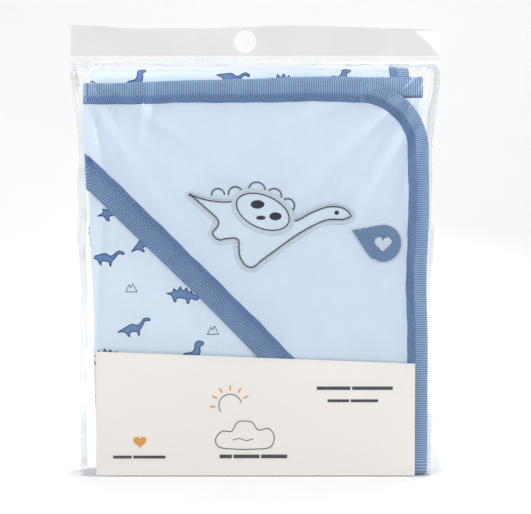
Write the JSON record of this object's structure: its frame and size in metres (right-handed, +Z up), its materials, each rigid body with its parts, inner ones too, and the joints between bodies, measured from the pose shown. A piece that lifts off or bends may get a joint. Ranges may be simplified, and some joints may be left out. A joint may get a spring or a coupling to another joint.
{
  "type": "hooded baby towel",
  "caption": "Square cotton baby towel with a sewn corner hood and ribbed binding, folded in thirds and packed in a clear header bag with a card.",
  "frame": {"origin": "centre of the pack's footprint, on the surface it stands on", "axes": "+Z up the pack, front towards -Y, +X to the right as seen from the front"},
  "size_m": [0.28, 0.0384, 0.3382],
  "materials": {
    "printed_knit": "soft white-blue knitted cotton with a small scattered print, matt",
    "plain_knit": "plain light blue knitted cotton, matt",
    "rib_binding": "ribbed knit tape, ribs across its length, matt",
    "blue_thread": "dense looped cover stitch",
    "pale_patch": "pale smooth patch cloth",
    "satin_thread": "pale satin stitch with a slight sheen",
    "navy_thread": "dark embroidery thread",
    "bubble_cloth": "mid blue woven patch",
    "clear_film": "clear glossy packing film",
    "header_film": "clear double film, slightly grey",
    "adhesive_tape": "clear tape, slightly cloudy",
    "card": "off-white coated card, printed"
  },
  "bodies": {
    "towel": {"body_panel": "printed_knit", "edge_binding": "rib_binding", "edge_stitching": "blue_thread", "hood_panel": "plain_knit", "hood_binding": "rib_binding", "hood_stitching": "blue_thread", "dino_patch": "pale_patch", "dino_border": "satin_thread", "dino_outline": "navy_thread", "saddle_patch": "pale_patch", "saddle_border": "satin_thread", "saddle_outline": "navy_thread", "saddle_spot_1": "navy_thread", "saddle_spot_2": "navy_thread", "saddle_spot_3": "navy_thread", "back_plate_1": "pale_patch", "back_plate_2": "pale_patch", "back_plate_3": "pale_patch", "back_plate_4": "pale_patch", "back_plate_5": "pale_patch", "eye": "navy_thread", "bubble_patch": "bubble_cloth", "bubble_border": "satin_thread", "bubble_motif": "satin_thread"},
    "bag": {"bag_front_film": "clear_film", "bag_back_film": "clear_film", "side_seal_left": "clear_film", "side_seal_right": "clear_film", "header_seal": "clear_film"},
    "header": {"header_sheet": "header_film"},
    "lip": {"closing_lip": "clear_film", "adhesive_strip": "adhesive_tape"},
    "card": {"card_insert": "card"}
  },
  "joints": [
    {"name": "bag_lift", "type": "slide", "parent": "towel", "child": "bag", "axis": [0, 0, 1], "range_m": [0, 0.36]},
    {"name": "card_slide", "type": "slide", "parent": "towel", "child": "card", "axis": [0, 0, 1], "range_m": [0, 0.2]},
    {"name": "header_fold", "type": "hinge", "parent": "bag", "child": "header", "pos_m": [0, 0.00515, 0.3162], "axis": [1, 0, 0], "range_deg": [-90, 90], "stiffness_Nm_per_rad": 0.003},
    {"name": "lip_swing", "type": "hinge", "parent": "bag", "child": "lip", "pos_m": [0, 0.0181, 0], "axis": [-1, 0, 0], "range_deg": [0, 240], "stiffness_Nm_per_rad": 0.003}
  ]
}
